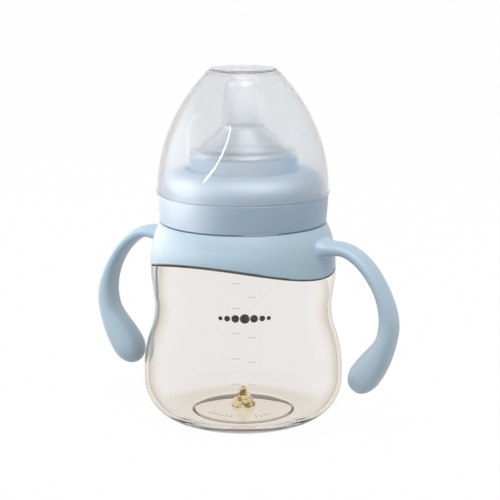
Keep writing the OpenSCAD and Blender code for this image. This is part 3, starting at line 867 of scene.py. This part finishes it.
ring_top_turn = math.degrees(math.asin((RING_TOP_Z - 0.45 - DOME_Z) / DOME_R))
inner_dome_r = DOME_R - (SHOULDER_R - SKIRT_R)
inner_dome_turn = math.degrees(math.asin((LEDGE_Z - DOME_Z) / inner_dome_r))
ring_profile = (
    [(SKIRT_R, DOME_Z - 0.1), (SKIRT_R, wave_mean_z + 0.2), (SKIRT_R + 0.2, wave_mean_z),
     (SHOULDER_R - 0.35, wave_mean_z), (SHOULDER_R - 0.1, wave_mean_z + 0.1)]
    + [(SHOULDER_R, wave_mean_z + rise) for rise in (0.4, 0.5, 0.8)]
    + arc(SHOULDER_R - DOME_R, DOME_Z, DOME_R, 2.5, ring_top_turn, 24)
    + rounded([(31.45, RING_TOP_Z - 0.4, 0), (31.3, RING_TOP_Z, 0.2),
               (COLLAR_ROOT_R, RING_TOP_Z, 0.2), (COLLAR_ROOT_R, LEDGE_Z, 0)])
    + arc(SHOULDER_R - DOME_R, DOME_Z, inner_dome_r, inner_dome_turn, 0.2, 10)
    + [(SKIRT_R, DOME_Z - 0.1)]
)
ring = lathed("handle_ring_skin", ring_profile, steps=192)
make_wavy(ring, *RING_WAVE_REACH)


def eased(stops, t):
    """A value along (place, value) stops, eased between them."""
    for (ta, a), (tb, b) in zip(stops, stops[1:]):
        if t <= tb:
            k = max(0.0, (t - ta) / (tb - ta))
            return a + (b - a) * (3 * k * k - 2 * k**3)
    return stops[-1][1]


def handle_centre(t):
    """A point on the handle's centre line, as radius and height, at a share t of its length."""
    weights = [math.comb(4, k) * (1 - t) ** (4 - k) * t**k for k in range(5)]
    x = HANDLE_ROOT_R + sum(w * p[0] for w, p in zip(weights, HANDLE_CURVE))
    z = ROOT_Z + sum(w * p[1] for w, p in zip(weights, HANDLE_CURVE))
    return Vector((x, z))


def squared(v):
    """A sine or cosine eased outwards, which makes the handle's section squarish."""
    return math.copysign(abs(v) ** HANDLE_SQUARENESS, v)


def ring_surface(y, z):
    """The ring's outer face at (y, z): its distance along X."""
    r = SHOULDER_R - DOME_R + math.sqrt(DOME_R**2 - max(0.0, z - DOME_Z) ** 2)
    return math.sqrt(max(0.0, r * r - y * y))


bpy.ops.object.select_all(action="DESELECT")
bpy.ops.mesh.primitive_grid_add(x_subdivisions=HANDLE_SIDES, y_subdivisions=HANDLE_ROWS, size=2)
handle = bpy.context.object
handle.name = "handle"
for vertex in handle.data.vertices:
    turn = math.pi * (vertex.co.x + 1)
    row = (vertex.co.y + 1) / 2
    across, sideways = squared(math.cos(turn)), squared(math.sin(turn))
    t, cap, swell, stand_off = HANDLE_START, 0.0, 0.0, None
    if row < FILLET_ROWS:
        # The root: a fillet that grows out of the ring's face
        fillet = math.radians(90 * (1 - row / FILLET_ROWS))
        swell = FILLET_R * (1 - math.cos(fillet))
        stand_off = FILLET_R * (1 - math.sin(fillet))
    elif row < 1 - CAP_ROWS:
        t += (1 - HANDLE_START) * (row - FILLET_ROWS) / (1 - CAP_ROWS - FILLET_ROWS)
    else:
        t, cap = 1.0, math.radians(90 * (row - 1 + CAP_ROWS) / CAP_ROWS)
    heading = (handle_centre(min(1, t + 0.004)) - handle_centre(max(0, t - 0.004))).normalized()
    thick = (eased(HANDLE_THICK, t) * math.cos(cap) + swell) * across
    wide = (eased(HANDLE_WIDE, t) * math.cos(cap) + swell) * sideways
    point = handle_centre(t) + heading * HANDLE_CAP * math.sin(cap)
    x, z = point.x - heading.y * thick, point.y + heading.x * thick
    if stand_off is not None:
        blend = (row / FILLET_ROWS) ** 2
        face = ring_surface(wide, z) + stand_off - FILLET_SINK
        x = face * (1 - blend) + x * blend if row > 0.001 else face - ROOT_SINK
    vertex.co = (x * MM, wide * MM, z * MM)
bpy.ops.object.mode_set(mode="EDIT")
bpy.ops.mesh.select_all(action="SELECT")
bpy.ops.mesh.remove_doubles(threshold=0.002 * MM)
bpy.ops.mesh.select_all(action="DESELECT")
bpy.ops.mesh.select_non_manifold()
bpy.ops.mesh.fill()
bpy.ops.mesh.select_all(action="SELECT")
bpy.ops.mesh.normals_make_consistent(inside=False)
bpy.ops.object.mode_set(mode="OBJECT")
bpy.ops.object.shade_smooth_by_angle(angle=math.radians(50))
bpy.ops.object.duplicate()
far_handle = bpy.context.object
bpy.ops.transform.rotate(value=math.pi, orient_axis="Z", center_override=(0, 0, 0))
bpy.ops.object.transform_apply(location=True, rotation=True, scale=True)
ring = joined("handle_ring_skin", [ring, handle, far_handle])

# Satin polypropylene: a fine spark-eroded grain, the faintest mottling of the blue, and a painted
# shadow darkening it along the marked seams
RING_BLUE = (0.50, 0.665, 0.80, 1)
RING_BLUE_DEEP = (0.475, 0.645, 0.785, 1)
# Along the marked seams the blue is mixed towards this colour, as painted contact shadow
PAINTED_SEAM_SHADOW = (0.03, 0.055, 0.09, 1)
SATIN_ROUGHNESS = 0.54
satin_skin, skin_in, skin_out = effect_group(
    "satin_skin",
    {"Light Blue": "Color", "Deep Blue": "Color", "Seam Shade": "Color"},
    {"Colour": "Color", "Normal": "Vector"},
)
skin_coords = satin_skin.nodes.new("ShaderNodeTexCoord")
mottle = add_node(satin_skin.nodes, "ShaderNodeTexNoise", Scale=60, Detail=2)
mottle_share = add_node(satin_skin.nodes, "ShaderNodeMapRange", From_Min=0.35, From_Max=0.65)
mottled = satin_skin.nodes.new("ShaderNodeMix")
mottled.data_type = "RGBA"
seam_shadow_mark = satin_skin.nodes.new("ShaderNodeAttribute")
seam_shadow_mark.attribute_name = "seam_shadow"
seam_shadowed = satin_skin.nodes.new("ShaderNodeMix")
seam_shadowed.data_type = "RGBA"
grain = add_node(satin_skin.nodes, "ShaderNodeTexNoise", Scale=2600, Detail=1)
grain_bump = add_node(satin_skin.nodes, "ShaderNodeBump", Strength=0.06, Distance=0.0001)
links = satin_skin.links
wire(links, [
    (skin_coords, "Object", mottle, "Vector"),
    (skin_coords, "Object", grain, "Vector"),
    (mottle, "Fac", mottle_share, "Value"),
    (mottle_share, "Result", mottled, 0),
    (skin_in, "Deep Blue", mottled, 6),
    (skin_in, "Light Blue", mottled, 7),
    (seam_shadow_mark, "Fac", seam_shadowed, 0),
    (mottled, 2, seam_shadowed, 6),
    (skin_in, "Seam Shade", seam_shadowed, 7),
    (seam_shadowed, 2, skin_out, "Colour"),
    (grain, "Fac", grain_bump, "Height"),
    (grain_bump, "Normal", skin_out, "Normal"),
])


def satin_plastic(name, light, deep):
    """Moulded satin plastic with fine grain, a faint mottle and painted shadow along its seams."""
    material, nodes, shader, _ = new_material(name)
    links = material.node_tree.links
    skin = add_effect(nodes, satin_skin, Light_Blue=light, Deep_Blue=deep, Seam_Shade=PAINTED_SEAM_SHADOW)
    wire(links, [
        (skin, "Colour", shader, "Base Color"),
        (skin, "Normal", shader, "Normal"),
    ])
    set_values(shader,
        Roughness=SATIN_ROUGHNESS, Specular_IOR_Level=1.0, Coat_Weight=0.8, Coat_Roughness=0.55,
        Sheen_Weight=0.2, Sheen_Roughness=0.5
    )
    return material


def ring_seam_shadow(r, x, y, z):
    """The lower edge of the ring's skirt, where it meets the wavy step, darkened by painted shadow.
    """
    return r < SHOULDER_R + 0.1 and z < wave_mean_z + wave_lift(x, y) + 0.45


# The skirt's lower edge takes the painted shadow at full strength
mark(ring, "seam_shadow", ring_seam_shadow)
ring.data.materials.append(satin_plastic("ring_satin_plastic", RING_BLUE, RING_BLUE_DEEP))
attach(ring, "bottle")
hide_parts("handle_ring")

# ---------------------------------------------------------------- collar
# The screw collar, moulded in the same blue but drawn a deeper blue as painted shade: a slightly
# tapered band, a ledge that the hood rests on, a rounded shoulder up to the opening, and one
# thread ridge inside.
COLLAR_Z = 76.9
BAND_LOW_R = 31.5
BAND_HIGH_R = 32.25
HOOD_LEDGE_Z = 87.4
GUIDE_R = 31.0
GUIDE_H = 1.3
COLLAR_DOME_R = 8.1
LIP_R = 0.8
OPENING_R = 21.0
SEAT_Z = 93.4
# The collar is moulded in the ring's blue; these deeper blues are painted shade
COLLAR_SHADED_BLUE = (0.33, 0.475, 0.625, 1)
COLLAR_SHADED_BLUE_DEEP = (0.31, 0.455, 0.61, 1)
collar_dome_z = HOOD_LEDGE_Z + GUIDE_H
collar_top_z = collar_dome_z + COLLAR_DOME_R
collar_inner_r = COLLAR_DOME_R - (GUIDE_R - COLLAR_ROOT_R)
seat_turn = math.degrees(math.asin((SEAT_Z - collar_dome_z) / collar_inner_r))
collar_profile = (
    rounded([(COLLAR_ROOT_R, COLLAR_Z + 0.3, 0), (COLLAR_ROOT_R, COLLAR_Z, 0.15),
             (BAND_LOW_R, COLLAR_Z, 0.35), (BAND_HIGH_R, HOOD_LEDGE_Z, 0.3),
             (GUIDE_R, HOOD_LEDGE_Z, 0.15), (GUIDE_R, collar_dome_z, 0)])
    + arc(GUIDE_R - COLLAR_DOME_R, collar_dome_z, COLLAR_DOME_R, 0, 90, 18)[1:]
    + arc(OPENING_R + LIP_R, collar_top_z - LIP_R, LIP_R, 90, 180, 8)
    + [(OPENING_R, SEAT_Z + 0.2), (OPENING_R + 0.2, SEAT_Z)]
    + arc(GUIDE_R - COLLAR_DOME_R, collar_dome_z, collar_inner_r, seat_turn, 0, 8)
    + [(COLLAR_ROOT_R, COLLAR_Z + 0.3)]
)
collar = lathed("collar_skin", collar_profile, steps=192)
collar_thread = wound_ridge("collar_thread", COLLAR_ROOT_R, -1, THREAD_Z - THREAD_PITCH / 2, 90)
collar = joined("collar_skin", [collar, collar_thread])


def collar_seam_shadow(r, x, y, z):
    """Painted shadow on the band's lower edge, over the ring, and its upper edge, under the hood's
    rim.
    """
    at_edge = z < COLLAR_Z + 0.2 or abs(z - HOOD_LEDGE_Z + 0.1) < 0.15
    return r > COLLAR_ROOT_R - 0.1 and at_edge


# The collar's edges take the painted shadow at half strength
mark(collar, "seam_shadow", collar_seam_shadow, 0.5)
collar.data.materials.append(satin_plastic("collar_shaded_satin_plastic", COLLAR_SHADED_BLUE, COLLAR_SHADED_BLUE_DEEP))
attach(collar, "collar")
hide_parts("collar")

# ---------------------------------------------------------------- teat
# The teat, moulded in soft, slightly cloudy silicone: a flange that the collar clamps on the rim,
# a round base that fills the opening, a cone, and a slim tip with its hole.
TEAT_BASE_R = 20.6
FLANGE_R = 26.8
FLANGE_T = 1.8
FLANGE_Z = 91.55
TEAT_TOP_Z = 130.5
TEAT_BASE_Z = 104.8
TEAT_BEVEL = 1.2
TEAT_SHOULDER_R = 3.2
TEAT_CONE_R = 16.8
TEAT_NECK_R = 8.2
TEAT_NECK_Z = 112.5
TEAT_CREASE_REACH = 0.8
TEAT_TIP_R = 6.3
TEAT_WALL = 1.6
TEAT_HOLE_R = 0.5
teat_profile = rounded([
    (TEAT_HOLE_R, TEAT_TOP_Z - TEAT_WALL, 0),
    (TEAT_HOLE_R, TEAT_TOP_Z, 0.15),
    (TEAT_TIP_R, TEAT_TOP_Z, 3.4),
    (TEAT_NECK_R, TEAT_NECK_Z, 0.6),
    (TEAT_CONE_R, TEAT_BASE_Z, 0.6),
    (TEAT_BASE_R, TEAT_BASE_Z - TEAT_BEVEL, TEAT_SHOULDER_R),
    (TEAT_BASE_R, FLANGE_Z + FLANGE_T, 0.2),
    (FLANGE_R, FLANGE_Z + FLANGE_T, 0.3),
    (FLANGE_R, FLANGE_Z, 0.3),
    (TEAT_BASE_R - TEAT_WALL, FLANGE_Z, 0.3),
    (TEAT_BASE_R - TEAT_WALL, TEAT_BASE_Z - TEAT_BEVEL - TEAT_WALL, 2.4),
    (TEAT_NECK_R - TEAT_WALL, TEAT_NECK_Z - TEAT_WALL, 4.5),
    (TEAT_TIP_R - TEAT_WALL, TEAT_TOP_Z - TEAT_WALL, 2),
    (TEAT_HOLE_R, TEAT_TOP_Z - TEAT_WALL, 0),
])
teat = lathed("teat_skin", teat_profile, steps=128)
SILICONE_IOR = 1.41
SILICONE_SHADE = (0.86, 0.88, 0.91, 1)
# Grey head on, pale between, darkening at the very edge into a painted blue-grey outline
SILICONE_TINTS = [
    (0.0, (0.74, 0.755, 0.775)), (0.25, (0.76, 0.775, 0.795)), (0.5, (0.96, 0.965, 0.97)),
    (0.78, (0.95, 0.96, 0.97)), (0.93, (0.50, 0.60, 0.72)), (1.0, (0.20, 0.28, 0.38)),
]
# The base and the crease under the tip are cloudier, and drawn bluer: the base with a painted
# reflection of the blue collar, the crease with painted shade
BASE_TINTS = [(0.0, (0.84, 0.92, 0.99)), (0.5, (0.52, 0.75, 0.97)), (1.0, (0.34, 0.62, 0.95))]
# Each finish has its tints, how it turns bluer low down as painted reflection of the collar, its
# roughness, clearness and surface gloss
SILICONES = {
    "cloudy_silicone": (SILICONE_TINTS, (0.0995, 0.004, (0.66, 0.85, 1.0)), 0.07, 0.92, 0.22),
    "cloudy_blue_shaded_silicone": (BASE_TINTS, (0.0935, 0.003, (0.72, 0.82, 0.93)), 0.32, 0.4, 0.3),
}
for name, (tints, thick, roughness, clearness, skin_roughness) in SILICONES.items():
    silicone, nodes, shader = clear_plastic(
        name, tints, SILICONE_IOR, roughness, SILICONE_SHADE, thick
    )
    set_values(shader,
        Transmission_Weight=clearness, Coat_Weight=0.8, Coat_Roughness=skin_roughness
    )
    teat.data.materials.append(silicone)
for face in teat.data.polygons:
    z = face.center.z / MM
    in_base = z < TEAT_BASE_Z - TEAT_SHOULDER_R
    in_crease = abs(z - TEAT_NECK_Z) < TEAT_CREASE_REACH
    face.material_index = 1 if in_base or in_crease else 0
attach(teat, "nipple")
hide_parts("nipple")

# ---------------------------------------------------------------- hood
# The clear cover, pressed lightly on the collar: one thin dome with a rim bead, a flat top and
# a small vent hole. Its outside is polished and its inside is a little hazy.
HOOD_R = 32.5
HOOD_WALL = 1.2
HOOD_Z = 87.55
HOOD_TOP_Z = 134.35
HOOD_CURVE_R = 64.5
HOOD_EDGE_R = 1.6
HOOD_TOP_DEPTH = 2.0
BEAD_R = 32.75
BEAD_H = 1.4
VENT_R = 0.9


def hood_side(inset):
    """The hood's side and top edge from its rim upwards, moved inwards by inset."""
    cx = HOOD_R - HOOD_CURVE_R
    reach = HOOD_CURVE_R - HOOD_EDGE_R
    turn = math.degrees(math.asin((HOOD_TOP_Z - HOOD_EDGE_R - HOOD_Z) / reach))
    ex = cx + reach * math.cos(math.radians(turn))
    ez = HOOD_Z + reach * math.sin(math.radians(turn))
    return (arc(cx, HOOD_Z, HOOD_CURVE_R - inset, 0, turn, 72)
            + arc(ex, ez, max(0.3, HOOD_EDGE_R - inset), turn, 90, 8)[1:])


hood_out = [p for p in hood_side(0) if p[1] > HOOD_Z + BEAD_H + 0.1]
hood_in = [p for p in hood_side(HOOD_WALL) if p[1] > HOOD_Z + 0.6]
hood_profile = (
    [(HOOD_R - HOOD_WALL, HOOD_Z + 0.3)]
    + rounded([(HOOD_R - HOOD_WALL, HOOD_Z + 0.2, 0), (HOOD_R - HOOD_WALL, HOOD_Z, 0.12),
               (BEAD_R, HOOD_Z, 0.3), (BEAD_R, HOOD_Z + BEAD_H, 0.15),
               (HOOD_R - 0.02, HOOD_Z + BEAD_H, 0)])
    + hood_out
    + rounded([(VENT_R + 1, HOOD_TOP_Z, 0), (VENT_R, HOOD_TOP_Z, 0.2),
               (VENT_R, HOOD_TOP_Z - HOOD_WALL, 0.1), (VENT_R + 1, HOOD_TOP_Z - HOOD_WALL, 0)])
    + list(reversed(hood_in))
    + [(HOOD_R - HOOD_WALL, HOOD_Z + 0.3)]
)
hood = lathed("hood_skin", hood_profile, steps=256)
HOOD_IOR = 1.2
HOOD_SHADE = (0.96, 0.97, 0.98, 1)
# The foot of the rim bead is darkened towards this tint, as a painted line of shade
HOOD_RIM_SHADE = (0.0877, 0.0003, (0.6, 0.67, 0.75))
HOOD_HAZE = 0.26
# Near clear head on, darkening at the very edge into a painted dark outline
HOOD_TINTS = [
    (0.0, (0.905, 0.918, 0.928)), (0.76, (0.905, 0.918, 0.928)), (0.88, (0.46, 0.49, 0.53)),
    (1.0, (0.10, 0.11, 0.13)),
]
HOOD_TOP_TINTS = [(0.0, (0.84, 0.85, 0.86)), (0.6, (0.81, 0.82, 0.83)), (1.0, (0.78, 0.79, 0.80))]
# The inside of the moulding is left hazy
inside_haze, haze_in, haze_out = effect_group(
    "inside_haze", {"Haze": "Float"}, {"Roughness": "Float"}
)
haze_mark = inside_haze.nodes.new("ShaderNodeAttribute")
haze_mark.attribute_name = "haze"
haze_rough = add_math(inside_haze.nodes, "MULTIPLY")
wire(inside_haze.links, [
    (haze_mark, "Fac", haze_rough, 0),
    (haze_in, "Haze", haze_rough, 1),
    (haze_rough, "Value", haze_out, "Roughness"),
])

# The flat top and its rounded edge take a greyer tint of their own, which stays pale along
# their edge with no painted outline. Each finish has its tints, the gloss of its edges and its
# polish.
HOOD_FINISHES = {
    "clear_hood_plastic": (HOOD_TINTS, 0.5, 1.0),
    "clear_hood_top_plastic": (HOOD_TOP_TINTS, 1.0, 0.2),
}
for name, (tints, edge_gloss, polish) in HOOD_FINISHES.items():
    clear_hood, nodes, shader = clear_plastic(name, tints, HOOD_IOR, 0.0, HOOD_SHADE, HOOD_RIM_SHADE)
    set_values(shader,
        Specular_Tint=(edge_gloss, edge_gloss, edge_gloss, 1), Transmission_Weight=0.94,
        Coat_Weight=polish, Coat_Roughness=0.0
    )
    hazy = add_effect(nodes, inside_haze, Haze=HOOD_HAZE)
    clear_hood.node_tree.links.new(hazy.outputs["Roughness"], shader.inputs["Roughness"])
    hood.data.materials.append(clear_hood)


def hood_inside(r, x, y, z):
    """The inner face of the side and of the top."""
    side_depth = HOOD_CURVE_R - math.hypot(r - HOOD_R + HOOD_CURVE_R, z - HOOD_Z)
    return min(side_depth, HOOD_TOP_Z - z) > HOOD_WALL * 0.6


mark(hood, "haze", hood_inside)
for face in hood.data.polygons:
    face.material_index = 1 if face.center.z > (HOOD_TOP_Z - HOOD_TOP_DEPTH) * MM else 0
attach(hood, "hood")
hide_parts("hood")

# ---------------------------------------------------------------- lamp reach
# With every piece in place, each lamp is told which of them it lights: the tube lamps and the
# veil only the hood, and the polishing lamps only the satin pieces, the teat or the boss. The
# wide lamps light all but the clear body, and the wall leaves out the hood.
LAMP_REACH = {
    "tube_lamp": ([hood], "INCLUDE"),
    "faint_tube_lamp": ([hood], "INCLUDE"),
    "band_polish": ([collar], "INCLUDE"),
    "dome_left_polish": ([collar, teat], "INCLUDE"),
    "dome_polish": ([collar, teat, boss], "INCLUDE"),
    "hood_veil": ([hood], "INCLUDE"),
    "left_polish": ([ring, collar, boss, teat], "INCLUDE"),
    "rear_left_polish": ([ring, collar, boss, teat], "INCLUDE"),
    "top_polish": ([ring, collar, boss], "INCLUDE"),
    "left_wall": ([bottle, hood], "EXCLUDE"),
    "top_box": ([bottle], "EXCLUDE"),
}
for lamp_name, (pieces, state) in LAMP_REACH.items():
    reach = bpy.data.collections.new(lamp_name + "_reach")
    for piece in pieces:
        reach.objects.link(piece)
    for entry in reach.collection_objects:
        entry.light_linking.link_state = state
    bpy.data.objects[lamp_name].light_linking.receiver_collection = reach
